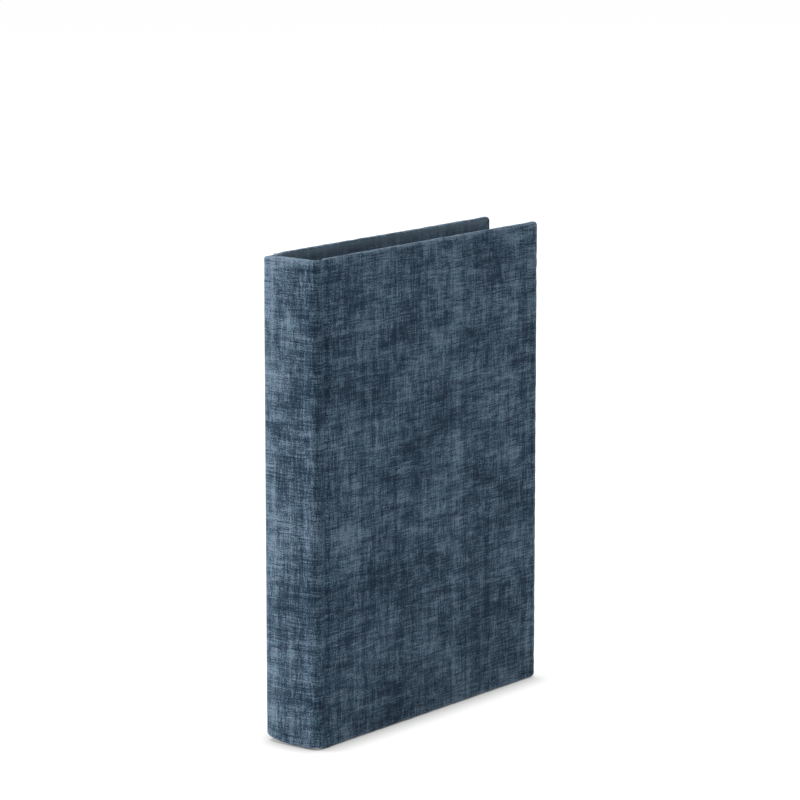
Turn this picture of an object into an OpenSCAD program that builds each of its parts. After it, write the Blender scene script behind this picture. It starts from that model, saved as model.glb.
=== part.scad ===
// Clamshell book box: a cloth covered case of two covers and a spine, with a
// smaller tray on the back cover and a larger one on the front cover that
// closes over it. The box stands on its tail, closed. X runs from the spine to
// the fore edge, Y from the front cover to the back cover, Z from tail to head.

/* [Case] */
// Height of the covers, from tail to head
case_h = 240; // [215:1:330]
// Width of the closed box, from the spine to the fore edge
case_w = 180; // [150:1:260]
// Thickness of the closed box over both covers
case_t = 33.5; // [26:0.5:70]
// Width of the cloth joint between the spine and a cover's board
joint_w = 6; // [4.5:0.25:10]
// Depth of the groove pressed into the joint
groove_depth = 1.0; // [0.4:0.1:1.3]
// Where the groove is deepest: 1 is midway, more is nearer the cover
groove_skew = 1.4; // [1:0.1:1.8]

/* [Materials] */
// Thickness of the board in the covers and the spine
case_board = 2.5; // [2:0.1:3.5]
// Thickness of the board in the trays
tray_board = 2; // [1.5:0.1:3]
// Thickness of the cloth as it is glued down
cloth_t = 0.4; // [0.3:0.05:0.6]
// Thickness of the card and paper that line the boards
lining_t = 0.4; // [0.3:0.05:0.6]
// Width of cloth turned in over the inside of the case
turn_in = 15; // [12:0.5:20]

/* [Edges] */
// Rounding of the covers' long edges where the cloth goes over them
edge_r = 1.1; // [0.8:0.05:1.2]
// Rounding of the covers' corners at the fore edge, seen from the front
corner_r = 2.5; // [1.5:0.25:5]
// Rounding of the spine's two long outer corners
spine_r = 2.4; // [1.5:0.1:2.8]
// Rounding of the trays' rims and outer corners
tray_r = 0.9; // [0.6:0.05:1]

/* [Trays] */
// How far the covers stand past the outer tray at head and tail
square_end = 7.5; // [5:0.25:12]
// How far the covers stand past the outer tray at the fore edge
square_fore = 5.5; // [4:0.25:10]
// Distance of the trays from the covers' spine side edge
tray_set_in = 0.3; // [0.2:0.1:3]
// Gap between the trays' walls at head and tail
end_gap = 0.7; // [0.5:0.1:1.5]
// Gap between the trays' fore edge walls, so that the outer one swings past
fore_gap = 2.6; // [2.3:0.1:5]
// Gap between the outer tray's rim and the back cover
rim_gap = 0.7; // [0.4:0.1:2]
// Gap between the inner tray's rim and the outer tray's floor
floor_gap = 1; // [0.5:0.1:3]
// Cloth left showing on a tray's floor between its walls and the lining
lining_margin = 2; // [1:0.25:5]

/* [Hidden] */
$fn = 48;

// How far a cutter or a long blank stands past what it cuts
past = 5;
// Steps along the curve of the pressed groove
groove_steps = 14;

// A finished cover or spine: cloth, board, and the turned in cloth's level
cover_t = cloth_t + case_board + lining_t;
// A finished tray wall: board with cloth on both sides
wall_t = tray_board + 2 * cloth_t;
// A finished tray floor: board and paper
floor_t = tray_board + lining_t;
// Where the covers' boards start, measured from the spine's outer face
cover_x = cover_t + joint_w;
// Where the trays start
tray_x = cover_x + tray_set_in;

// A tray is [its first z, its last z, its fore edge x, its rim's y from its
// cover's outer face]
OUTER_TRAY = [
    square_end,
    case_h - square_end,
    case_w - square_fore,
    case_t - cover_t - rim_gap,
];
INNER_TRAY = [
    OUTER_TRAY[0] + wall_t + end_gap,
    OUTER_TRAY[1] - wall_t - end_gap,
    OUTER_TRAY[2] - wall_t - fore_gap,
    case_t - cover_t - floor_t - floor_gap,
];

cloth_colour = [0.24, 0.31, 0.38];
board_colour = [0.55, 0.52, 0.47];
card_colour = [0.80, 0.78, 0.72];
paper_colour = [0.86, 0.85, 0.81];

// Axes

// The origin is midway across the standing box, at its tail
module placed() {
    translate([-case_w / 2, -case_t / 2, 0]) children();
}

// What is drawn for the front cover, turned over to the back cover
module at_back() {
    translate([0, case_t, 0]) mirror([0, 1, 0]) children();
}

// A plan outline (X, Y) raised from z0 to z1
module along_z(z0, z1) {
    translate([0, 0, z0]) linear_extrude(z1 - z0) children();
}

// An outline drawn in (Y, Z), drawn out from x0 to x1
module along_x(x0, x1) {
    translate([x0, 0, 0]) rotate([90, 0, 90]) linear_extrude(x1 - x0) children();
}

// An outline drawn in (X, Z), drawn out from y0 to y1
module along_y(y0, y1) {
    translate([0, y1, 0]) rotate([90, 0, 0]) linear_extrude(y1 - y0) children();
}

// A block between two corners
module block(low, high) {
    translate(low) cube(high - low);
}

// Shared outlines

// The waste outside one rounded corner at the origin
module corner_waste(r) {
    difference() {
        translate([-past, -past]) square(past + r);
        translate([r, r]) circle(r);
    }
}

// A rectangle whose four corners, counted from low x and low y round to
// high x and low y, are rounded by radii; 0 leaves a corner square
module rounded(low, high, radii) {
    places = [low, [low[0], high[1]], high, [high[0], low[1]]];
    difference() {
        translate(low) square(high - low);
        for (i = [0:3])
            if (radii[i] > 0)
                translate(places[i]) rotate(-90 * i) corner_waste(radii[i]);
    }
}

// Case

// A cover's form, drawn in from its edges by inset, between two levels
module cover_form(inset, y0, y1) {
    r = edge_r - inset;
    rc = corner_r - inset;
    x1 = case_w - inset;
    z1 = case_h - inset;
    intersection() {
        along_z(inset, z1) rounded([cover_x, y0], [x1, y1], [0, 0, r, r]);
        along_x(cover_x, x1) rounded([y0, inset], [y1, z1], [r, r, r, r]);
        along_y(y0, y1) rounded([cover_x, inset], [x1, z1], [0, 0, rc, rc]);
    }
}

// The board of a cover, whose outer face is at y = 0
module cover_board_form() {
    cover_form(cloth_t, cloth_t, cloth_t + case_board);
}

// The card that fills the space inside the turned in cloth
module cover_infill_form() {
    block(
        [cover_x, cover_t - lining_t, turn_in],
        [case_w - turn_in, cover_t, case_h - turn_in]
    );
}

// The cloth of a cover, over its outer face and edges and turned in
module cover_cloth_form() {
    difference() {
        cover_form(0, 0, cover_t);
        cover_board_form();
        cover_infill_form();
    }
}

// The spine's form, drawn in from its outer faces by inset
module spine_form(inset, x1) {
    r = edge_r - inset;
    rs = spine_r - inset;
    y0 = inset;
    y1 = case_t - inset;
    z1 = case_h - inset;
    intersection() {
        along_z(inset, z1) rounded([inset, y0], [x1, y1], [rs, rs, 0, 0]);
        along_x(inset, x1) rounded([y0, inset], [y1, z1], [r, r, r, r]);
        along_y(y0, y1) rounded([inset, inset], [x1, z1], [r, r, r, r]);
    }
}

module spine_board_form() {
    spine_form(cloth_t, cloth_t + case_board);
}

// The inner hinge cloth where it lies on the spine's board
module spine_lining_form() {
    block(
        [cover_t - lining_t, cloth_t, turn_in],
        [cover_t, case_t - cloth_t, case_h - turn_in]
    );
}

// Depth of the pressed groove at a share of the joint's width
function groove(u) = groove_depth * (1 - cos(360 * pow(u, groove_skew))) / 2;

// The groove's curve at a distance inside the outer cloth's face
function groove_line(inside, u1) = [
    for (i = [0:groove_steps])
        let (u = u1 * i / groove_steps)
        [cover_t + joint_w * u, groove(u) + inside]
];

function backwards(list) = [for (i = [len(list) - 1:-1:0]) list[i]];

// The outer cloth of the joint, pressed into its groove
module joint_cloth_form() {
    along_z(edge_r / 2, case_h - edge_r / 2)
        polygon(concat(groove_line(0, 1), backwards(groove_line(cloth_t, 1))));
}

// The inner hinge cloth: it follows the groove, then climbs the cover's board
module joint_lining_form() {
    climb_u = (joint_w - lining_t) / joint_w;
    along_z(turn_in, case_h - turn_in)
        polygon(concat(
            groove_line(cloth_t, 1),
            [[cover_x, cover_t], [cover_x - lining_t, cover_t]],
            backwards(groove_line(cloth_t + lining_t, climb_u))
        ));
}

// Trays, drawn on a cover whose outer face is at y = 0

// The fore edge wall's section in (X, Y), rounded at its rim
module fore_wall_section(x0, rim) {
    rounded([x0, cover_t], [x0 + wall_t, rim], [0, tray_r, tray_r, 0]);
}

// An end wall's section in (Y, Z), rounded at its rim
module end_wall_section(z0, rim) {
    rounded([cover_t, z0], [rim, z0 + wall_t], [0, 0, tray_r, tray_r]);
}

module tray_base_form(tray) {
    inset = cloth_t + tray_board;
    block(
        [tray_x, cover_t, tray[0] + inset],
        [tray[2] - inset, cover_t + tray_board, tray[1] - inset]
    );
}

module tray_fore_wall_form(tray) {
    block(
        [tray[2] - cloth_t - tray_board, cover_t, tray[0] + cloth_t],
        [tray[2] - cloth_t, tray[3] - cloth_t, tray[1] - cloth_t]
    );
}

// A head or tail wall, whose low face is at z0
module tray_end_wall_form(tray, z0) {
    block(
        [tray_x + cloth_t, cover_t, z0],
        [tray[2] - cloth_t - tray_board, tray[3] - cloth_t, z0 + tray_board]
    );
}

module tray_tail_wall_form(tray) {
    tray_end_wall_form(tray, tray[0] + cloth_t);
}

module tray_head_wall_form(tray) {
    tray_end_wall_form(tray, tray[1] - cloth_t - tray_board);
}

module tray_lining_form(tray) {
    edge = wall_t + lining_margin;
    block(
        [tray_x, cover_t + tray_board, tray[0] + edge],
        [tray[2] - edge, cover_t + floor_t, tray[1] - edge]
    );
}

// The cloth over both sides and the rims of the walls, and on the floor's edge
module tray_cloth_form(tray) {
    edge = wall_t + lining_margin;
    difference() {
        intersection() {
            union() {
                along_z(tray[0], tray[1])
                    fore_wall_section(tray[2] - wall_t, tray[3]);
                for (z0 = [tray[0], tray[1] - wall_t])
                    along_x(tray_x, tray[2]) end_wall_section(z0, tray[3]);
                block(
                    [tray_x, cover_t + tray_board, tray[0] + cloth_t],
                    [tray[2] - cloth_t, cover_t + floor_t, tray[1] - cloth_t]
                );
            }
            along_y(cover_t, tray[3])
                rounded([tray_x, tray[0]], [tray[2], tray[1]], [0, 0, tray_r, tray_r]);
        }
        tray_base_form(tray);
        tray_fore_wall_form(tray);
        tray_tail_wall_form(tray);
        tray_head_wall_form(tray);
        tray_lining_form(tray);
    }
}

// Pieces of the back cover

module back_cover_board() {
    color(board_colour) placed() at_back() cover_board_form();
}

module back_cover_cloth() {
    color(cloth_colour) placed() at_back() cover_cloth_form();
}

module back_cover_infill() {
    color(card_colour) placed() at_back() cover_infill_form();
}

module inner_tray_base() {
    color(board_colour) placed() at_back() tray_base_form(INNER_TRAY);
}

module inner_tray_head_wall() {
    color(board_colour) placed() at_back() tray_head_wall_form(INNER_TRAY);
}

module inner_tray_tail_wall() {
    color(board_colour) placed() at_back() tray_tail_wall_form(INNER_TRAY);
}

module inner_tray_fore_wall() {
    color(board_colour) placed() at_back() tray_fore_wall_form(INNER_TRAY);
}

module inner_tray_cloth() {
    color(cloth_colour) placed() at_back() tray_cloth_form(INNER_TRAY);
}

module inner_tray_lining() {
    color(paper_colour) placed() at_back() tray_lining_form(INNER_TRAY);
}

// Pieces of the spine and its joints

module spine_board() {
    color(board_colour) placed() spine_board_form();
}

module spine_cloth() {
    color(cloth_colour) placed()
        difference() {
            spine_form(0, cover_t);
            spine_board_form();
            spine_lining_form();
        }
}

module spine_lining() {
    color(cloth_colour) placed() spine_lining_form();
}

module back_joint_cloth() {
    color(cloth_colour) placed() at_back() joint_cloth_form();
}

module back_joint_lining() {
    color(cloth_colour) placed() at_back() joint_lining_form();
}

module front_joint_cloth() {
    color(cloth_colour) placed() joint_cloth_form();
}

module front_joint_lining() {
    color(cloth_colour) placed() joint_lining_form();
}

// Pieces of the front cover

module front_cover_board() {
    color(board_colour) placed() cover_board_form();
}

module front_cover_cloth() {
    color(cloth_colour) placed() cover_cloth_form();
}

module front_cover_infill() {
    color(card_colour) placed() cover_infill_form();
}

module outer_tray_base() {
    color(board_colour) placed() tray_base_form(OUTER_TRAY);
}

module outer_tray_head_wall() {
    color(board_colour) placed() tray_head_wall_form(OUTER_TRAY);
}

module outer_tray_tail_wall() {
    color(board_colour) placed() tray_tail_wall_form(OUTER_TRAY);
}

module outer_tray_fore_wall() {
    color(board_colour) placed() tray_fore_wall_form(OUTER_TRAY);
}

module outer_tray_cloth() {
    color(cloth_colour) placed() tray_cloth_form(OUTER_TRAY);
}

module outer_tray_lining() {
    color(paper_colour) placed() tray_lining_form(OUTER_TRAY);
}

back_cover_board();
back_cover_cloth();
back_cover_infill();
inner_tray_base();
inner_tray_head_wall();
inner_tray_tail_wall();
inner_tray_fore_wall();
inner_tray_cloth();
inner_tray_lining();
spine_board();
spine_cloth();
spine_lining();
back_joint_cloth();
back_joint_lining();
front_joint_cloth();
front_joint_lining();
front_cover_board();
front_cover_cloth();
front_cover_infill();
outer_tray_base();
outer_tray_head_wall();
outer_tray_tail_wall();
outer_tray_fore_wall();
outer_tray_cloth();
outer_tray_lining();
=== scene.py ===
"""Clamshell book box in blue chambray book cloth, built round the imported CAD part.

Lengths in the mesh code are millimetres in the part source's own axes: x from the spine's
outer face, y from the front cover's outer face, z from the tail. place() turns them into the
frame's metres. The back half's pieces are made as the front half's are and mirrored in y.

The cloth's UV map is in millimetres too: u runs round the box from the middle of the spine,
positive towards the front cover, and v runs up it from the tail.
"""

import math
from collections import namedtuple

import bmesh
import bpy
from mathutils import Matrix, Vector, noise


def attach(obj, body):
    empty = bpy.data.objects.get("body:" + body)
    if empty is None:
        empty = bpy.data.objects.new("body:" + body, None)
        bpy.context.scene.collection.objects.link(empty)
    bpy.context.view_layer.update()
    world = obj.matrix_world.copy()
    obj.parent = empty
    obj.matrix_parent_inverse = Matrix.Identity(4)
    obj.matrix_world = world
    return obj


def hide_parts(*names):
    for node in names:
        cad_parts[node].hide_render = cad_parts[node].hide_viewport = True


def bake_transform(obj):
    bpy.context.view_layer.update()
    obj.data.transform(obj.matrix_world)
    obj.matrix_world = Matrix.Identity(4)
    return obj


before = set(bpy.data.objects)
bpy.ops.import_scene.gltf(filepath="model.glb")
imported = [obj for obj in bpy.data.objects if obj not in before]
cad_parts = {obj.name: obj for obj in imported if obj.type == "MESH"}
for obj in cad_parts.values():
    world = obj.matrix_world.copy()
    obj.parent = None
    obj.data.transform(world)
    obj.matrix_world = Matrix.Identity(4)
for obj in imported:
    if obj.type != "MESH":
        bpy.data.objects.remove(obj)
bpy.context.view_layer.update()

# Sizes, as in the part's source except for CORNER_R: the photo's corners are a little sharper
CASE_H, CASE_W, CASE_T = 240.0, 180.0, 33.5
COVER_T, JOINT_W, JOINT_DEPTH, JOINT_SKEW = 3.3, 6.0, 1.0, 1.4
CLOTH_T, TURN_IN = 0.4, 15.0
EDGE_R, CORNER_R, SPINE_R = 1.1, 1.9, 2.4
COVER_X = COVER_T + JOINT_W
TRAY_X, WALL_T, FLOOR_T = 9.6, 2.8, 2.4
# A tray is its first z, its last z, its fore edge x and its rim's y from its cover's outer face
OUTER_TRAY = (7.5, 232.5, 174.5, 29.5)
INNER_TRAY = (11.0, 229.0, 169.1, 26.8)


def place(p):
    """A point of the part's source in millimetres as a point of the frame in metres."""
    return Vector(((p[0] - CASE_W / 2) / 1000, (p[1] - CASE_T / 2) / 1000, p[2] / 1000))


# Camera, fitted to the outline in the photograph

EYE_MM = (-1394.22, -1071.32, 478.96)
YAW, PITCH = math.radians(37.61), math.radians(10.34)
SENSOR_MM, LENS_MM = 36.0, 160.91
NEAR, FAR = 0.05, 30


def make_camera():
    data = bpy.data.cameras.new("camera")
    data.sensor_width, data.lens = SENSOR_MM, LENS_MM
    data.clip_start, data.clip_end = NEAR, FAR
    camera = bpy.data.objects.new("camera", data)
    bpy.context.scene.collection.objects.link(camera)
    forward = Vector(
        (math.cos(YAW) * math.cos(PITCH), math.sin(YAW) * math.cos(PITCH), -math.sin(PITCH))
    )
    right = Vector((math.sin(YAW), -math.cos(YAW), 0))
    up = right.cross(forward)
    turn = Matrix((right, up, -forward)).transposed().to_4x4()
    camera.matrix_world = Matrix.Translation(Vector(EYE_MM) / 1000) @ turn
    bpy.context.scene.camera = camera


make_camera()
bpy.context.scene.view_settings.view_transform = "Standard"


# Node helpers


class Nodes:
    """Builds a shader tree with short calls that return the new node's output."""

    def __init__(self, tree):
        self.tree = tree
        tree.nodes.clear()

    def add(self, kind, inputs=(), out=0, **settings):
        """A node with its settings, and its inputs set or linked by name or number."""
        node = self.tree.nodes.new("ShaderNode" + kind)
        for name, value in settings.items():
            setattr(node, name, value)
        for name, value in dict(inputs).items():
            socket = node.inputs[name]
            if isinstance(value, bpy.types.NodeSocket):
                self.tree.links.new(value, socket)
            else:
                socket.default_value = value
        return node.outputs[out]

    def math(self, operation, a, b=0.0, c=0.0, clamp=False):
        return self.add("Math", {0: a, 1: b, 2: c}, operation=operation, use_clamp=clamp)

    def total(self, start, terms, clamp=False):
        """start plus each value times its weight, at the end clamped to 0 to 1 if asked."""
        for k, (value, weight) in enumerate(terms, 1):
            last = k == len(terms)
            start = self.math("MULTIPLY_ADD", value, weight, start, clamp=clamp and last)
        return start

    def vector(self, operation, a, b):
        return self.add("VectorMath", {0: a, 1: b}, operation=operation)

    def span(self, value, low, high, smooth=True):
        """0 at low and 1 at high, which may be the lesser of the two."""
        return self.add(
            "MapRange",
            {"Value": value, "From Min": low, "From Max": high},
            interpolation_type="SMOOTHSTEP" if smooth else "LINEAR",
        )

    def band(self, value, start, full, fade, end):
        """1 from full to fade, 0 outside start and end."""
        return self.math("MULTIPLY", self.span(value, start, full), self.span(value, end, fade))

    def blend(self, share, a, b, kind="MIX"):
        """Colour a turned into b by a share: 6, 7 and 2 are the Mix node's colour sockets."""
        sockets = {0: share, 6: a, 7: b}
        return self.add("Mix", sockets, out=2, data_type="RGBA", blend_type=kind)

    def noise(self, at, scale=1.0, detail=2.0, rough=0.5, distort=0.0):
        inputs = {"Vector": at, "Scale": scale, "Detail": detail, "Roughness": rough}
        return self.add("TexNoise", {**inputs, "Distortion": distort})

    def seen_directly(self):
        """1 for what the camera sees, also in a reflection or through glass."""
        seen = self.add("LightPath").node
        direct = self.math(
            "MAXIMUM", seen.outputs["Is Camera Ray"], seen.outputs["Is Glossy Ray"]
        )
        return self.math("MAXIMUM", direct, seen.outputs["Is Transmission Ray"])

    def output(self, shader, kind="Material"):
        node = self.tree.nodes.new("ShaderNodeOutput" + kind)
        self.tree.links.new(shader, node.inputs["Surface"])


def new_material(name):
    material = bpy.data.materials.new(name)
    material.use_nodes = True
    return material, Nodes(material.node_tree)


def grey(value):
    return (value, value, value, 1)


# Materials

CLOTH_DARK = (0.0100, 0.0243, 0.0468, 1)
CLOTH_MID = (0.0458, 0.0838, 0.1275, 1)
CLOTH_PALE = (0.1500, 0.2204, 0.2943, 1)
# The next colour is pale painted light for the shaded turned in cloth and its rim's painted
# highlight
TURN_IN_PAINTED_LIGHT = (0.155, 0.208, 0.250, 1)
COOL_TINT, WARM_TINT = (0.98, 1.008, 0.995, 1), (1.06, 0.992, 0.995, 1)

# The cloth's shade runs from 0, dark, to 1, pale. Noises spread it round SHADE: their size
# along the weft and the warp in mm, their place in the noise, detail, roughness and weight
SHADE = 0.46
SHADE_NOISES = {
    "patches": (7.5, 8.5, 3.1, 3, 0.6, 0.9),
    "broad": (42, 34, 7.7, 1, 0.5, 0.8),
    "bars": (4, 30, 19.5, 1, 0.5, 0.45),
    "bands": (26, 5, 33.9, 1, 0.5, 0.75),
    "columns": (3.5, 500, 66.1, 2, 0.5, 0.55),
    "slubs": (12, 0.9, 11.7, 1, 0.5, 0.8),
    "weft": (4.0, 0.45, 27.3, 1, 0.5, 0.75),
    "warp": (0.65, 6.5, 41.9, 2, 0.6, 1.5),
    "grain": (0.75, 0.6, 59.2, 1, 0.5, 1.7),
}
# Slubs and specks on top of that: sizes and place as above, the levels of the noise at which
# a mark starts and is full, and its weight
MARKS = {
    "dark_slubs": (12, 0.65, 83.4, 0.63, 0.75, -0.48),
    "pale_weft": (8, 0.6, 101.8, 0.67, 0.79, 0.20),
    "specks": (1.0, 0.8, 171.5, 0.70, 0.80, 0.35),
    "pale_warp": (0.7, 8, 131.5, 0.65, 0.77, 0.24),
}
DARK_AT, MID_AT, PALE_AT = 0.05, 0.5, 1.0  # the shades at which the three colours are full
HUE_NOISE = (4, 4, 151.0, 2)
WEAVE_U, WEAVE_V = 0.92, 0.84  # pitch of the weave's relief

# Bands of the cloth, as where each starts, is full, fades and ends. The joint's painted shade, the
# painted highlight on the covers' fore edges and that over the spine's back edge are along u,
# their sign dropped for the first two
PAINTED_JOINT_SHADE_BAND = (15.6, 17.6, 22.0, 24.2)
FORE_HIGHLIGHT_BAND = (193.4, 195.0, 198.5, 199.5)
BACK_EDGE_HIGHLIGHT_BAND = (-19.0, -17.5, -10.0, -6.0)
# The painted highlight on the head and tail edges, the cloth turned in there and the painted
# highlight at its rim are along v, measured from half the box's height
HALF_H = CASE_H / 2
END_HIGHLIGHT_BAND = (HALF_H - 2.2, HALF_H - 0.6, HALF_H + 2.4, HALF_H + 3.4)
TURNED_IN_BAND = (HALF_H + 2.6, HALF_H + 3.6, HALF_H + 30, HALF_H + 40)
INNER_RIM_HIGHLIGHT = (HALF_H + 7.6, HALF_H + 2.6)
# What the bands add to the shade: painted shade in the joints, painted highlights on the edges.
# Then the share of pale painted light in the turned in cloth, and what its rim's painted highlight
# adds to that share
JOINT_PAINTED_SHADE, BACK_EDGE_PAINTED_HIGHLIGHT, EDGES_PAINTED_HIGHLIGHT = -0.12, 0.18, 0.30
TURN_IN_LIGHT_SHARE, RIM_HIGHLIGHT_SHARE = 0.28, 0.55
# Pieces that those bands don't belong to start this far off in u or v
HINGE_U, TRAY_END_U, TRAY_V, SPINE_INSIDE_V = 230, 280, 300, 400


def cloth_material():
    """Blue chambray, with the cloth's own UV map: u is along the weft and v along the warp."""
    material, n = new_material("chambray_book_cloth")
    uv = n.add("UVMap", uv_map="cloth")
    parts = n.add("SeparateXYZ", {0: uv}).node
    u, v = parts.outputs[0], parts.outputs[1]

    def threads(weft, warp, shift, detail=1, rough=0.5):
        """Noise stretched to a size in mm, at a place of its own in the noise."""
        scaled = n.vector("MULTIPLY", uv, (1 / weft, 1 / warp, 1))
        at = n.vector("ADD", scaled, (shift, shift * 0.7, shift * 1.3))
        return n.noise(at, detail=detail, rough=rough)

    noises = {name: threads(*row[:5]) for name, row in SHADE_NOISES.items()}
    marks = {}
    for name, (weft, warp, shift, start, full, _) in MARKS.items():
        marks[name] = n.span(threads(weft, warp, shift), start, full)
    spread = [
        (n.math("SUBTRACT", noises[name], 0.5), row[-1]) for name, row in SHADE_NOISES.items()
    ]
    shade = n.total(SHADE, spread)
    shade = n.total(shade, [(marks[name], row[-1]) for name, row in MARKS.items()], clamp=True)

    # Painted shade darkens the cloth in the joints' grooves, a painted highlight lightens it over
    # the spine's back edge, and painted highlights lighten the covers' head, tail and fore edges
    from_middle = n.math("ABSOLUTE", u)
    from_half_way_up = n.math("ABSOLUTE", n.math("SUBTRACT", v, HALF_H))
    joint = n.band(from_middle, *PAINTED_JOINT_SHADE_BAND)
    # A painted highlight over the spine's back edge
    back_edge_highlight = n.band(u, *BACK_EDGE_HIGHLIGHT_BAND)
    # Painted highlights on the head, tail and fore edges
    end_highlights = n.band(from_half_way_up, *END_HIGHLIGHT_BAND)
    edge_highlights = n.math("MAXIMUM", end_highlights, n.band(from_middle, *FORE_HIGHLIGHT_BAND))
    bands = ((joint, JOINT_PAINTED_SHADE), (back_edge_highlight, BACK_EDGE_PAINTED_HIGHLIGHT), (edge_highlights, EDGES_PAINTED_HIGHLIGHT))
    shade = n.total(shade, bands, clamp=True)
    low = n.blend(n.span(shade, DARK_AT, MID_AT, smooth=False), CLOTH_DARK, CLOTH_MID)
    colour = n.blend(n.span(shade, MID_AT, PALE_AT, smooth=False), low, CLOTH_PALE)

    # A pale colour is painted light on the turned in cloth, which lies in shade, and a painted
    # highlight at its rim; it also flattens the cloth's pattern there
    turned_in = n.band(from_half_way_up, *TURNED_IN_BAND)
    painted_light_share = n.total(TURN_IN_LIGHT_SHARE, [(n.span(from_half_way_up, *INNER_RIM_HIGHLIGHT), RIM_HIGHLIGHT_SHARE)])
    colour = n.blend(n.math("MULTIPLY", turned_in, painted_light_share), colour, TURN_IN_PAINTED_LIGHT)
    tint = n.blend(n.span(threads(*HUE_NOISE), 0.35, 0.65), COOL_TINT, WARM_TINT)
    colour = n.blend(1.0, colour, tint, kind="MULTIPLY")

    # Relief: thick threads, the weave, slubs and grain
    across = n.math("SINE", n.math("MULTIPLY", u, math.tau / WEAVE_U))
    along = n.math("SINE", n.math("MULTIPLY", v, math.tau / WEAVE_V))
    heights = (
        (noises["warp"], 0.9),
        (n.math("MULTIPLY", across, along), 0.22),
        (noises["weft"], 0.8),
        (marks["dark_slubs"], 0.25),
        (noises["grain"], 0.5),
    )
    relief = n.total(0.0, heights)
    shader = {
        "Base Color": colour,
        "Roughness": 0.95,
        "Specular IOR Level": 0.12,
        "Sheen Weight": 0.06,
        "Sheen Roughness": 0.4,
        "Normal": n.add("Bump", {"Strength": 0.7, "Distance": 0.00022, "Height": relief}),
    }
    n.output(n.add("BsdfPrincipled", shader))
    return material


# Board, card and paper: noise scales per metre, and the scale that makes fibres longer up z
CLOUD_SCALE, PULP_SCALE, FIBRE_SCALE, FLECK_SCALE = 60, 1400, 2600, 900
FIBRE_STRETCH = (1, 1, 0.35)


def fibre_material(name, low, high, fleck, fleck_level, rough, relief):
    """Mottled pulp from a low to a high colour, with short fibres and flecks where a noise is
    over fleck_level. relief is the fibres' height in metres."""
    material, n = new_material(name)
    at = n.add("TexCoord", out=3)
    cloud = n.noise(at, CLOUD_SCALE, detail=4, rough=0.6)
    pulp = n.noise(at, PULP_SCALE, detail=3, rough=0.65)
    stretched = n.vector("MULTIPLY", at, FIBRE_STRETCH)
    fibre = n.noise(stretched, FIBRE_SCALE, detail=2, rough=0.7, distort=1.5)
    tone = n.total(cloud, [(n.math("SUBTRACT", pulp, 0.5), 0.9)], clamp=True)
    colour = n.blend(n.span(tone, 0.25, 0.75), low, high)
    flecks = n.span(n.noise(at, FLECK_SCALE, detail=1), fleck_level, fleck_level + 0.05)
    height = n.total(pulp, [(fibre, 0.6)])
    shader = {
        "Base Color": n.blend(flecks, colour, fleck),
        "Roughness": rough,
        "Specular IOR Level": 0.3,
        "Normal": n.add("Bump", {"Strength": 0.5, "Distance": relief, "Height": height}),
    }
    n.output(n.add("BsdfPrincipled", shader))
    return material


CLOTH = cloth_material()
GREYBOARD = fibre_material(
    "greyboard",
    low=(0.190, 0.172, 0.148, 1),
    high=(0.290, 0.268, 0.235, 1),
    fleck=(0.100, 0.088, 0.074, 1),
    fleck_level=0.68,
    rough=0.95,
    relief=0.0002,
)
CARD = fibre_material(
    "card",
    low=(0.52, 0.49, 0.42, 1),
    high=(0.60, 0.57, 0.50, 1),
    fleck=(0.40, 0.36, 0.29, 1),
    fleck_level=0.72,
    rough=0.9,
    relief=0.00008,
)
PAPER = fibre_material(
    "lining_paper",
    low=(0.640, 0.620, 0.555, 1),
    high=(0.715, 0.700, 0.640, 1),
    fleck=(0.520, 0.470, 0.380, 1),
    fleck_level=0.71,
    rough=0.88,
    relief=0.00006,
)


# Mesh helpers

SAME = 1e-6  # lengths nearer than this are the same
MERGE, SLIVER = 0.002, 0.001  # points nearer than MERGE are joined, thinner faces dissolved


def lines(*stops):
    """Values from stop to stop: each stop is (value, steps to reach it from the last one)."""
    out = [stops[0][0]]
    for value, steps in stops[1:]:
        start = out[-1]
        out += [start + (value - start) * (i + 1) / steps for i in range(steps)]
    return out


def smooth(t):
    t = min(max(t, 0.0), 1.0)
    return t * t * (3 - 2 * t)


def rise(value, start, end):
    """0 up to start, 1 from end on."""
    return smooth((value - start) / (end - start))


def fade(value, start, end):
    """1 up to start, 0 from end on."""
    return 1 - rise(value, start, end)


def runs_along(path, start=0.0):
    """The run to each point of a path of (x, y) points, from its first point's."""
    runs = [start]
    for a, b in zip(path, path[1:]):
        runs.append(runs[-1] + math.hypot(b[0] - a[0], b[1] - a[1]))
    return runs


def from_end(distance, head):
    """The z at a distance from the box's head or tail."""
    return CASE_H - distance if head else distance


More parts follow.
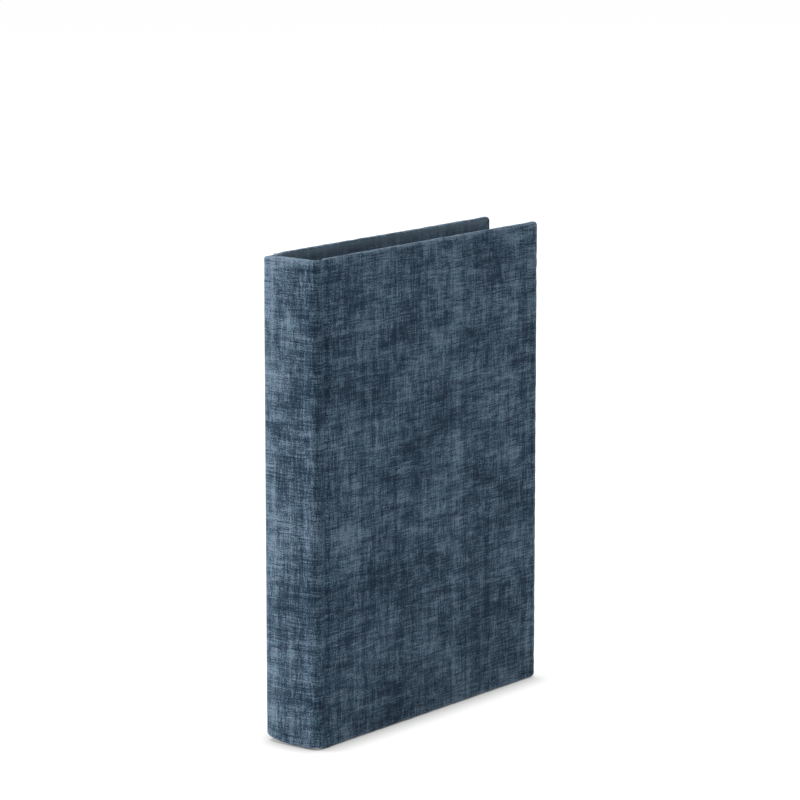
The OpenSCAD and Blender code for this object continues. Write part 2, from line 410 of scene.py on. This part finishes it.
class Patches:
    """Grids of spots, each a (point, (u, v)) pair, which are joined where they meet."""

    def __init__(self):
        self.grids = []

    def add(self, rows, flip=False):
        self.grids.append((rows, flip))

    def build(self, name, mirror=False, lumpy=True):
        """The grids as one object in cloth, bowed, sunk and lumpy as on the real box."""
        mesh = bmesh.new()
        layer = mesh.loops.layers.uv.new("cloth")
        for rows, flip in self.grids:
            verts = [[mesh.verts.new(point) for point, _ in row] for row in rows]
            for i in range(len(rows) - 1):
                for j in range(len(rows[0]) - 1):
                    ring = [(i, j), (i + 1, j), (i + 1, j + 1), (i, j + 1)]
                    if flip != mirror:
                        ring.reverse()
                    corners = [verts[a][b] for a, b in ring]
                    spots = {tuple(round(c, 5) for c in v.co) for v in corners}
                    if len(spots) < 3:
                        continue
                    face = mesh.faces.new(corners)
                    for loop, (a, b) in zip(face.loops, ring):
                        loop[layer].uv = rows[a][b][1]
        bmesh.ops.remove_doubles(mesh, verts=mesh.verts, dist=MERGE)
        bmesh.ops.dissolve_degenerate(mesh, dist=SLIVER, edges=mesh.edges)
        loose = [v for v in mesh.verts if not v.link_faces]
        bmesh.ops.delete(mesh, geom=loose, context="VERTS")
        for v in mesh.verts:
            if mirror:
                v.co.y = CASE_T - v.co.y
            v.co.x -= bow(v.co)
            v.co.z -= dip(v.co)
        mesh.normal_update()
        moves = [v.normal * (lumps(v.co) if lumpy else 0.0) for v in mesh.verts]
        for v, move in zip(mesh.verts, moves):
            v.co = place(v.co + move)
        mesh.normal_update()
        data = bpy.data.meshes.new(name)
        mesh.to_mesh(data)
        mesh.free()
        for face in data.polygons:
            face.use_smooth = True
        data.materials.append(CLOTH)
        obj = bpy.data.objects.new(name, data)
        bpy.context.scene.collection.objects.link(obj)
        return obj


SPINE_BOW = 1.2


def bow(p):
    """How far the spine is bowed out at a point."""
    across = min(abs(p.y - CASE_T / 2) / (CASE_T / 2), 1.0)
    return SPINE_BOW * (1 - across**2.4) * fade(p.x, COVER_T, COVER_T + 2.5)


def dip(p):
    """How far the head edge sinks: 0.8 mm in the back joint and up to 0.3 mm in the cover."""
    depth = 0.5 * fade(p.x, 7.5, 9.0) + 0.3 * fade(p.x, 9.0, 15.0)
    return depth * rise(p.x, 1.0, 3.5) * rise(p.y, 22, 30) * rise(p.z, 226, 236)


# Lumps in glued cloth: the sizes of each kind along x, y and z, and its place in the noise
LONG_NOISE = ((22, 22, 17), (0, 0, 0))
SHORT_NOISE = ((5, 5, 3.5), (90, 0, 0))
FINE_NOISE = ((2.4, 2.4, 2.4), (0, 50, 0))
# Their heights: long and short ones all over, more short and fine ones at the case's edges,
# and how far the cloth stands proud of the fore edges
LONG_LUMPS, SHORT_LUMPS, EDGE_LUMPS, FORE_LIFT = 0.11, 0.06, 0.12, 0.3


def noise_at(p, sizes, shift):
    return noise.noise(Vector([c / size + s for c, size, s in zip(p, sizes, shift)]))


def lumps(p):
    """How far the glued cloth stands proud at a point."""
    long, short = noise_at(p, *LONG_NOISE), noise_at(p, *SHORT_NOISE)
    fine = noise_at(p, *FINE_NOISE)
    edge = fade(min(p.z, CASE_H - p.z, CASE_W - p.x), 0, 5)
    all_over = LONG_LUMPS * long + SHORT_LUMPS * short
    return all_over + edge * EDGE_LUMPS * (short + fine) + FORE_LIFT * fade(CASE_W - p.x, 0, 3)


# Case cloth

ARC = 5  # steps round an edge
EDGE_STEPS = [math.radians(90 * k / ARC) for k in range(ARC + 1)]
CORNER_CELLS = 5  # cells of the cover's grid across its rounded corners, each way
FINE = 20  # the cells are finer this near to the case's edges

# Where the joint's cloth ends and the cover's begins, just clear of the cover's board
JOINT_END, COVER_START = COVER_X - 0.45, COVER_X - 0.12
# Rows up the case between its rounded ends, shared by every piece of the case, and columns
# over a cover
Z_ROWS = lines(
    (EDGE_R, 0),
    (CORNER_R, CORNER_CELLS),
    (FINE, 9),
    (CASE_H - FINE, 84),
    (CASE_H - CORNER_R, 9),
    (CASE_H - EDGE_R, CORNER_CELLS),
)
X_COLS = lines(
    (COVER_START, 0),
    (14, 3),
    (CASE_W - FINE, 73),
    (CASE_W - CORNER_R, 9),
    (CASE_W - EDGE_R, CORNER_CELLS),
)
# Those of them that lie outside the rounded corners
STRAIGHT_Z = [z for z in Z_ROWS if CORNER_R - SAME <= z <= CASE_H - CORNER_R + SAME]
STRAIGHT_X = [x for x in X_COLS if x <= CASE_W - CORNER_R + SAME]
# Distances from the edge of the lines across the turned in cloth
INNER_INSETS = (CORNER_R, 4.0, 6.0, 8.5, 11.5, TURN_IN)
SEAM_Y = 2.6  # where the sheet that bends starts on the spine's face

# The groove's share at the very end, and how far from there it is full
GROOVE_AT_END, GROOVE_FULL = 0.15, 7
# The cloth's ends are drawn in at the spine's front and back corners: (depth, reach) of each
TAIL_DRAWN_IN = ((1.6, 3.2), (3.5, 6.2))
HEAD_DRAWN_IN = ((0.4, 3.0), (1.3, 3.0))
DRAWN_ALONG = 1.5  # how much sooner that dies out along x than along y
DRAWN_REACH = 9.0  # how far up or down the face it moves the rows
# Radius of the case's end edges in the joint and just before it. A narrow edge on the spine
# keeps EDGE_FLAT between its two rounds
JOINT_EDGE_R, BEND_EDGE_R, EDGE_FLAT = 0.4, 0.9, 0.05
# In the joint the case is JOINT_T thick, its two cloths, up to THICKENS_X. From there it
# thickens by THICKENS to nearly the cover's thickness
JOINT_T, THICKENS, THICKENS_X = 0.85, 2.3, 5.2
HAIR = 0.02  # keeps faces that lie on each other apart
TUCK_STEP = 0.12  # step of the rows that end just under the spine's turned in cloth
LOWER_SHORT = 0.07  # how much shorter the spine's lower layer is at each end
# The fore edge's turned in cloth: how high and from where it lies over the other two, and how
# deep its mitred ends sink
LAP_T, LAP_RAMP, LAP_SINK = 0.22, 1.2, 0.05


def edge_profile(r, t):
    """Points over an edge from the outer face to the inner one, as (inset, depth, run)."""
    flat = t - 2 * r
    out = [(r * (1 - math.sin(a)), r * (1 - math.cos(a)), r * a) for a in EDGE_STEPS]
    run = out[-1][2]
    out += [(0.0, r + flat * share, run + flat * share) for share in (0.5, 1)]
    run += flat
    out += [(r * (1 - math.cos(a)), t - r + r * math.sin(a), run + r * a) for a in EDGE_STEPS[1:]]
    return out


EDGE_RUN = edge_profile(EDGE_R, COVER_T)[-1][2]


def groove(x):
    """Depth of the pressed joint at x, as in the part's source."""
    u = min(max((x - COVER_T) / JOINT_W, 0.0), 1.0)
    return JOINT_DEPTH * (1 - math.cos(math.tau * u**JOINT_SKEW)) / 2


def groove_share(z):
    """The share of the groove's depth at a height: it nearly dies out at head and tail."""
    share = rise(min(z, CASE_H - z), 0, GROOVE_FULL)
    return GROOVE_AT_END + (1 - GROOVE_AT_END) * share


def drawn_in(x, y, head):
    """How far the cloth's end edge is drawn in near the spine's two outer corners."""
    front, back = HEAD_DRAWN_IN if head else TAIL_DRAWN_IN
    near = front[0] * math.exp(-(y + DRAWN_ALONG * x) / front[1])
    far = back[0] * math.exp(-(CASE_T - y + DRAWN_ALONG * x) / back[1])
    return (near + far) * fade(x, 0, JOINT_END)


Station = namedtuple("Station", "x y in_x in_y thick edge_r run")


def case_stations():
    """Places along the girth from the spine's face to the cover: a point of the outer face, the
    way inwards, the thickness and edge radius at the ends, and the run."""
    spots = [(0.0, SEAM_Y, 1.0, 0.0, EDGE_R)]
    for k in range(9):
        a = math.radians(90 * k / 8)
        x, y = SPINE_R * (1 - math.cos(a)), SPINE_R * (1 - math.sin(a))
        spots.append((x, y, math.cos(a), math.sin(a), EDGE_R))
    spots.append(((SPINE_R + COVER_T) / 2, 0.0, 0.0, 1.0, BEND_EDGE_R))
    spots = [(x, y, in_x, in_y, 2 * r + EDGE_FLAT, r) for x, y, in_x, in_y, r in spots]
    for x in lines((COVER_T, 0), (JOINT_END, 14)):
        thick = JOINT_T + THICKENS * rise(x, THICKENS_X, JOINT_END)
        spots.append((x, groove(x), 0.0, 1.0, thick, JOINT_EDGE_R))
    runs = runs_along(spots, CASE_T / 2 - SEAM_Y)
    return [Station(*spot, run) for spot, run in zip(spots, runs)]


STATIONS = case_stations()
RUN_AT_JOINT_END = STATIONS[-1].run


def z_at(z, low, high):
    """A row of Z_ROWS fitted between a station's own first and last row."""
    if z < DRAWN_REACH + EDGE_R:
        return z + (low - EDGE_R) * (1 - smooth((z - EDGE_R) / DRAWN_REACH))
    if z > CASE_H - EDGE_R - DRAWN_REACH:
        return z + (high - CASE_H + EDGE_R) * (1 - smooth((CASE_H - EDGE_R - z) / DRAWN_REACH))
    return z


def rounded_corner(x, z):
    """Moves a point of the face's square grid so that its outer corners are rounded."""
    r = CORNER_R - EDGE_R
    cx = CASE_W - CORNER_R
    low = z < CASE_H / 2
    cz = CORNER_R if low else CASE_H - CORNER_R
    a, b = (x - cx) / r, ((cz - z) if low else (z - cz)) / r
    if a <= SAME or b <= SAME:
        return x, z
    if a >= b:
        radius, turn = a, math.pi / 4 * b / a
    else:
        radius, turn = b, math.pi / 2 - math.pi / 4 * a / b
    dz = r * radius * math.sin(turn)
    return cx + r * radius * math.cos(turn), cz - dz if low else cz + dz


def outline(inset):
    """The cover's outline at an inset, from its spine side round by the tail, fore edge and
    head: (x, z, outward x, outward z) at each point of the face grid's border."""
    c = max(inset, CORNER_R)
    r = max(CORNER_R - inset, 0.0)
    turns = [math.radians(90 * k / (2 * CORNER_CELLS)) for k in range(1, 2 * CORNER_CELLS)]
    ways = [(math.cos(a - math.pi / 2), math.sin(a - math.pi / 2)) for a in turns]
    out = [(min(x, CASE_W - c), inset, 0, -1) for x in STRAIGHT_X]
    out += [(CASE_W - c + r * nx, c + r * nz, nx, nz) for nx, nz in ways]
    out += [(CASE_W - inset, min(max(z, c), CASE_H - c), 1, 0) for z in STRAIGHT_Z]
    ways = [(math.cos(a), math.sin(a)) for a in turns]
    out += [(CASE_W - c + r * nx, CASE_H - c + r * nz, nx, nz) for nx, nz in ways]
    out += [(min(x, CASE_W - c), CASE_H - inset, 0, 1) for x in reversed(STRAIGHT_X)]
    return out


BORDER = outline(EDGE_R)


def end_rows(station, y, head):
    """Where a station's cloth ends, and its rows from there over the head or tail edge, as
    (z, depth, v). y is the station's true one, on whichever side of the box it is."""
    sign = 1 if head else -1
    end = from_end(drawn_in(station.x, y, head), head)
    start = from_end(EDGE_R, head)
    profile = edge_profile(station.edge_r, station.thick)
    return end, [(end - sign * inset, depth, start + sign * run) for inset, depth, run in profile]


class CaseHalf(Patches):
    """The cloth of one half of the case: the spine's corner, the joint and a cover with its
    turned in edges."""

    def __init__(self, mirror):
        super().__init__()
        self.mirror = mirror
        self.side = -1 if mirror else 1
        # By whether they are at the head: the joint's edge and its turned in cloth
        self.ends = {False: [], True: []}
        self.turn_ins = {False: [], True: []}
        self.add_face()
        rings = self.cover_edge()
        self.add(rings)
        # The joint's edges run on into the cover's
        for head in (False, True):
            last = -1 if head else 0
            self.add(self.ends[head] + [[ring[last] for ring in rings]], flip=not head)
        self.add_end_turn_ins()
        self.add_corners()
        self.add_fore_turn_in()

    def u_at(self, x):
        """The u of an x on the cover."""
        return self.side * (RUN_AT_JOINT_END + x - JOINT_END)

    def add_face(self):
        face = []
        for station in STATIONS:
            true_y = CASE_T - station.y if self.mirror else station.y
            low_end, low_rows = end_rows(station, true_y, False)
            high_end, high_rows = end_rows(station, true_y, True)
            column = []
            for z in Z_ROWS:
                up = z_at(z, low_end + station.edge_r, high_end - station.edge_r)
                share = groove_share(up) if station.x >= COVER_T else 1
                column.append(((station.x, station.y * share, up), (self.side * station.run, z)))
            face.append(column)
            self.add_station_end(station, low_rows, False)
            self.add_station_end(station, high_rows, True)
        for x in X_COLS:
            corners = [rounded_corner(x, z) for z in Z_ROWS]
            face.append([((px, 0.0, pz), (self.u_at(px), pz)) for px, pz in corners])
        self.add(face)

    def add_station_end(self, station, rows, head):
        """A station's cloth over the end's edge and, in the joint, down inside it."""
        sign = 1 if head else -1
        on_spine = station.x < COVER_T
        u = self.side * station.run
        strip = []
        for k, (z, depth, v) in enumerate(rows):
            if on_spine and k > ARC:
                # It ends just under the spine's own turned in cloth
                depth = station.edge_r + HAIR
                z = rows[ARC][0] - sign * TUCK_STEP * (k - ARC)
            share = 1 if on_spine else groove_share(z)
            x = station.x + station.in_x * depth
            strip.append(((x, station.y * share + station.in_y * depth, z), (u, v)))
        self.ends[head].append(strip)
        if on_spine:
            return
        (_, _, base_z), (_, base_v) = strip[-1]
        inner = [strip[-1]]
        for inset in INNER_INSETS:
            z = from_end(inset, head)
            point = (station.x, station.y * groove_share(z) + station.thick, z)
            inner.append((point, (u, base_v + abs(z - base_z) * sign)))
        self.turn_ins[head].append(inner)

    def cover_edge(self):
        """The cover's edge, all round, in rings from its outer to its inner face."""
        rings = []
        for inset, depth, run in edge_profile(EDGE_R, COVER_T):
            ring = []
            for (x, z, _, _), (border_x, border_z, nx, nz) in zip(outline(inset), BORDER):
                u = self.u_at(border_x) + self.side * nx * run
                ring.append(((x, depth, z), (u, border_z + nz * run)))
            rings.append(ring)
        return rings

    def add_end_turn_ins(self):
        """Turned in cloth at head and tail, mitred at the fore edge corners."""
        for head in (False, True):
            sign = 1 if head else -1
            rows = self.turn_ins[head]
            for i in range(len(STRAIGHT_X)):
                k = len(BORDER) - 1 - i if head else i
                x, z = BORDER[k][:2]
                start_v = z + sign * EDGE_RUN
                row = [((x, COVER_T, z), (self.u_at(x), start_v))]
                for inset in INNER_INSETS:
                    x, z = outline(inset)[k][:2]
                    v = start_v + sign * (inset - EDGE_R)
                    row.append(((x, COVER_T, z), (self.u_at(x), v)))
                rows.append(row)
            self.add(rows, flip=not head)

    def add_corners(self):
        """The first strip of turned in cloth at the rounded corners."""
        inner = outline(CORNER_R)
        turn = 2 * CORNER_CELLS
        for start in (len(STRAIGHT_X) - 1, len(BORDER) - len(STRAIGHT_X) - turn):
            rows = []
            for k in range(start, start + turn + 1):
                _, _, nx, nz = BORDER[k]
                row = []
                for (x, z, _, _), run in ((BORDER[k], EDGE_RUN), (inner[k], EDGE_RUN + 1)):
                    uv = (self.u_at(x) + self.side * nx * run, z + nz * run)
                    row.append(((x, COVER_T, z), uv))
                rows.append(row)
            self.add(rows)

    def add_fore_turn_in(self):
        """Turned in cloth at the fore edge, laid over the other two, and its mitred ends."""

        def lap(inset):
            return LAP_T * smooth((inset - EDGE_R) / LAP_RAMP)

        rows = []
        for z in STRAIGHT_Z:
            row = []
            for inset in (EDGE_R, *INNER_INSETS):
                mitred = min(max(z, inset), CASE_H - inset) if inset > CORNER_R else z
                u = self.u_at(CASE_W + EDGE_RUN + inset - 2 * EDGE_R)
                row.append(((CASE_W - inset, COVER_T + lap(inset), mitred), (u, z)))
            rows.append(row)
        self.add(rows)
        for head in (False, True):
            rows = []
            for inset in INNER_INSETS:
                x, z = CASE_W - inset, from_end(inset, head)
                u = self.u_at(CASE_W - EDGE_R + EDGE_RUN + inset)
                top = ((x, COVER_T + lap(inset), z), (u, z))
                rows.append([top, ((x, COVER_T - LAP_SINK, z), (u, z + lap(inset)))])
            self.add(rows, flip=head)


UNDER_GAP = 0.03  # between the spine's lower layer and the cloth over it
UNDER_LAP = 0.8  # how far the lower layer goes on under the middle one


def spine_wrap():
    """The spine in its cloth. Its corners are a separate, lower layer, which the two halves of
    the case lie over."""
    made = Patches()
    inner_r = SPINE_R - CLOTH_T - UNDER_GAP
    # Stations as (y, x of the outer face), by layers, the corner's round its arc first
    corner = []
    for k in range(6, -1, -1):
        a = math.radians(90 * k / 6)
        corner.append((SPINE_R - inner_r * math.sin(a), SPINE_R - inner_r * math.cos(a)))
    corner.append((SEAM_Y + UNDER_LAP, SPINE_R - inner_r))
    middle = [(y, 0.0) for y in lines((SEAM_Y, 0), (CASE_T - SEAM_Y, 18))]
    far = [(CASE_T - y, x) for y, x in reversed(corner)]
    for layer in (corner, middle, far):
        short = 0.0 if layer is middle else LOWER_SHORT
        face, inner, ends = [], [], {False: [], True: []}
        for y, x in layer:
            t = COVER_T - x
            r = min(EDGE_R, t / 2 - HAIR)
            low = drawn_in(0, y, False) + short
            high = CASE_H - drawn_in(0, y, True) - short
            u = CASE_T / 2 - y
            column = [(z_at(z, low + r, high - r), z) for z in Z_ROWS]
            face.append([((x, y, up), (u, z)) for up, z in column])
            inner.append([((COVER_T, y, up), (u, z + SPINE_INSIDE_V)) for up, z in column])
            for head, end, sign in ((False, low, -1), (True, high, 1)):
                start = from_end(EDGE_R, head)
                strip = []
                for inset, depth, run in edge_profile(r, t):
                    strip.append(((x + depth, y, end - sign * inset), (u, start + sign * run)))
                ends[head].append(strip)
        made.add(face, flip=True)
        made.add(inner)
        for head in (False, True):
            made.add(ends[head], flip=head)
        # The board's ends, which face the joints
        if layer is not middle:
            k = 0 if layer is corner else -1
            made.add([face[k], inner[k]], flip=k != 0)
    return made


HINGE_LAP = 3  # how far the hinge cloth goes under the cloth turned in at head and tail
HINGE_ROWS = lines((TURN_IN - HINGE_LAP, 0), (CASE_H - TURN_IN + HINGE_LAP, 90))


def hinge_strip():
    """The inner hinge cloth: it lies in the joint and climbs to the cover's inner face."""
    made = Patches()
    # Its path as (x, y): over the outer cloth at the spine, in the groove, up the board's edge
    on_spine, in_groove = 0.46, 2 * CLOTH_T + 0.08
    path = [(0.9, 0.41), (1.6, 0.43), (2.6, on_spine)]
    for x in lines((COVER_T, 0), (COVER_X - 0.9, 12)):
        share = rise(x, 2.6, 4.2)
        path.append((x, groove(x) + on_spine + (in_groove - on_spine) * share))
    path += [
        (COVER_X - 0.62, groove(COVER_X - 0.6) + in_groove + 0.10),
        (COVER_X - 0.50, 1.35),
        (COVER_X - 0.46, 1.9),
        (COVER_X - 0.44, 2.6),
        (COVER_X - 0.38, 3.1),
        (COVER_X - 0.15, 3.42),
        (COVER_X + 0.25, 3.5),
    ]
    rows = []
    for (x, y), run in zip(path, runs_along(path)):
        rows.append([((x, y, z), (HINGE_U + run, z)) for z in HINGE_ROWS])
    made.add(rows, flip=True)
    return made


front_case = CaseHalf(mirror=False).build("front_case_cloth")
back_case = CaseHalf(mirror=True).build("back_case_cloth", mirror=True)
spine_case = spine_wrap().build("spine_case_cloth")
front_hinge = hinge_strip().build("front_hinge_cloth", lumpy=False)
back_hinge = hinge_strip().build("back_hinge_cloth", mirror=True, lumpy=False)

# Points where the front's sheets start and end their turn from the spine to the cover; the loop
# below unpacks them but does nothing with them, it only bakes each sheet's transform
CASE_BEND = ((0.3, SEAM_Y, 120.0), (SEAM_Y, 0.3, 120.0))
HINGE_BEND = ((0.5, 0.45, 120.0), (1.3, 0.45, 120.0))


def mirrored(points):
    return [(x, CASE_T - y, z) for x, y, z in points]


for obj, cover, (start, end) in (
    (front_case, "front_cover", CASE_BEND),
    (back_case, "back_cover", mirrored(CASE_BEND)),
    (front_hinge, "front_cover", HINGE_BEND),
    (back_hinge, "back_cover", mirrored(HINGE_BEND)),
):
    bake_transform(obj)
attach(spine_case, "spine")
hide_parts("front_cover_cloth", "front_joint_cloth")
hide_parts("back_cover_cloth", "back_joint_cloth")
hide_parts("spine_cloth", "spine_lining", "spine_board")
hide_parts("front_joint_lining")
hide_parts("back_joint_lining")


# Trays

RIM_R, TRAY_CORNER_R = 0.9, 0.9
TRAY_ARC = 5  # steps round a tray's corner
FLOOR_LAPS = (0.35, 1.0, 2.2)  # how far the cloth reaches over the floor, in steps
FLOOR_LAP = FLOOR_LAPS[-1]
CORNER_U, SIDE_GAP_U = 0.3, 2  # u per step round a corner, and what it skips there


def wall_section(base, rim, floor):
    """A covered wall's section from the foot of its outer face over its rim and down its inner
    face to the floor: (across, up), where across runs from the outer face inwards."""
    r, shoulder = RIM_R, rim - RIM_R
    steps = [math.radians(90 * k / 4) for k in range(5)]
    out = [(0.0, up) for up in lines((base, 0), (shoulder, 8))]
    out += [(r * (1 - math.cos(a)), shoulder + r * math.sin(a)) for a in steps[1:]]
    out += [(WALL_T - r + r * math.sin(a), shoulder + r * math.cos(a)) for a in steps]
    out += [(WALL_T, up) for up in lines((shoulder, 0), (floor, 8))[1:]]
    return out


def tray_plan(tray, across):
    """A line round a tray's three walls at a distance inside their outer faces, with rounded
    or square corners: (x, z, u)."""
    z0, z1, fore, _ = tray
    depth = z1 - z0
    clear = FLOOR_LAP + 0.1  # keeps the grid's lines off the cloth that laps the floor
    xs = lines((TRAY_X, 0), (fore - 6, 76), (fore - WALL_T - clear, 2))
    zs = lines((z0 + WALL_T + clear, 0), (z1 - WALL_T - clear, 100))
    turns = [math.radians(90 * k / TRAY_ARC) for k in range(TRAY_ARC + 1)]
    r = max(TRAY_CORNER_R - across, 0.0)
    c = across + r
    plan = [(x, z0 + across, x) for x in xs]
    for k, a in enumerate(turns):
        plan.append((fore - c + r * math.sin(a), z0 + c - r * math.cos(a), fore + k * CORNER_U))
    plan += [(fore - across, z, fore + SIDE_GAP_U + z - z0) for z in zs]
    for k, a in enumerate(turns):
        u = fore + SIDE_GAP_U + depth + k * CORNER_U
        plan.append((fore - c + r * math.cos(a), z1 - c + r * math.sin(a), u))
    end_u = 2 * fore + 3 * SIDE_GAP_U + depth
    plan += [(x, z1 - across, end_u - x) for x in reversed(xs)]
    return plan


def tray_cloth(tray):
    """The cloth over a tray's three walls, inside and out, and the edge of its floor."""
    made = Patches()
    rim, floor = tray[3], COVER_T + FLOOR_T
    wall = wall_section(COVER_T, rim, floor)
    section = wall + [(WALL_T + lap, floor + HAIR) for lap in FLOOR_LAPS]
    grid = []
    for (across, up), run in zip(section, runs_along(section)):
        grid.append([((x, up, z), (u, TRAY_V + run)) for x, z, u in tray_plan(tray, across)])
    made.add(grid)
    # The walls' ends at the spine side, each closed from its outer to its inner face. Both
    # lists run one point past the rim's middle, which ties the end to the rim
    middle = next(k for k, (across, _) in enumerate(wall) if across > WALL_T / 2)
    for side in (0, -1):
        outer = [grid[k][side][0] for k in range(middle + 1)]
        inner = [grid[k][side][0] for k in range(len(wall) - 1, middle - 2, -1)]
        rows = []
        for share in (0, 0.5, 1):
            row = []
            for a, b in zip(outer, inner):
                point = tuple(p + (q - p) * share for p, q in zip(a, b))
                row.append((point, (TRAY_END_U + share * WALL_T, TRAY_V + point[1])))
            rows.append(row)
        made.add(rows, flip=side == 0)
    return made


outer_cloth = tray_cloth(OUTER_TRAY).build("outer_tray_cover_cloth", lumpy=False)
inner_cloth = tray_cloth(INNER_TRAY).build("inner_tray_cover_cloth", mirror=True, lumpy=False)
for obj, body, node in (
    (outer_cloth, "front_cover", "outer_tray_cloth"),
    (inner_cloth, "back_cover", "inner_tray_cloth"),
):
    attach(obj, body)
    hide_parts(node)

# Materials of the CAD solids that stay, by how their names end
NODE_MATERIALS = {
    "board": GREYBOARD,
    "base": GREYBOARD,
    "wall": GREYBOARD,
    "infill": CARD,
    "tray_lining": PAPER,
}
for name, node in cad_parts.items():
    for ending, material in NODE_MATERIALS.items():
        if name.endswith(ending):
            node.data.materials.clear()
            node.data.materials.append(material)


# Stage and light

FLOOR_SIDE, FLOOR_DROP = 6.0, 0.0004  # half the floor's side, and its gap under the box
FLOOR_PAINT, FLOOR_DULL, FLOOR_GLOW = 0.8, 0.2, 0.92
CONTACT = 0.014  # how near to the box the floor darkens
WORLD_STRENGTH, BACKDROP_STRENGTH = 0.32, 1.0
LAMP_SIZE = 1.2
AIM = (0, 0, 0.12)
WHITE, WARM = (1, 1, 1), (1.0, 0.965, 0.93)
# Each lamp's place, power and colour
LAMPS = {
    "back_left": ((-1.2, 2.1, 0.9), 76, WARM),
    "front_left": ((-2.1, -1.15, 1.5), 7, WHITE),
    "front_right": ((1.8, -1.6, 1.2), 12, WHITE),
    "above_back": ((0.6, 1.8, 2.0), 20, WHITE),
    "above": ((-0.3, 0.2, 2.6), 22, WHITE),
}


def make_floor():
    """A floor that is seen as nearly white with the box's shadow on it, and lights the box as
    plain pale paint does."""
    material, n = new_material("studio_floor")
    paint = n.add("BsdfDiffuse", {"Color": grey(FLOOR_PAINT)})
    dull = n.add("BsdfDiffuse", {"Color": grey(FLOOR_DULL)})
    near = n.add("AmbientOcclusion", {"Distance": CONTACT}, out=1, samples=16)
    strength = n.math("MULTIPLY", near, FLOOR_GLOW)
    glow = n.add("Emission", {"Color": grey(1.0), "Strength": strength})
    both = n.add("AddShader", {0: dull, 1: glow})
    n.output(n.add("MixShader", {0: n.seen_directly(), 1: paint, 2: both}))
    corners = [(-1, -1), (1, -1), (1, 1), (-1, 1)]
    mesh = bpy.data.meshes.new("studio_floor")
    mesh.from_pydata([(FLOOR_SIDE * x, FLOOR_SIDE * y, 0) for x, y in corners], [], [(0, 1, 2, 3)])
    mesh.materials.append(material)
    floor = bpy.data.objects.new("studio_floor", mesh)
    bpy.context.scene.collection.objects.link(floor)
    floor.location.z = -FLOOR_DROP


def make_world():
    """Even light from all round, in front of a backdrop that is seen as white."""
    world = bpy.data.worlds.new("studio")
    bpy.context.scene.world = world
    world.use_nodes = True
    n = Nodes(world.node_tree)
    strength = n.add("Mix", {0: n.seen_directly(), 2: WORLD_STRENGTH, 3: BACKDROP_STRENGTH})
    n.output(n.add("Background", {"Color": grey(1.0), "Strength": strength}), kind="World")


def make_lamp(name, at, power, colour):
    data = bpy.data.lights.new(name, "AREA")
    data.shape, data.size, data.energy, data.color = "SQUARE", LAMP_SIZE, power, colour
    lamp = bpy.data.objects.new(name, data)
    bpy.context.scene.collection.objects.link(lamp)
    lamp.location = at
    lamp.rotation_euler = (Vector(AIM) - Vector(at)).to_track_quat("-Z", "Y").to_euler()


make_floor()
make_world()
for name, (at, power, colour) in LAMPS.items():
    make_lamp(name, at, power, colour)
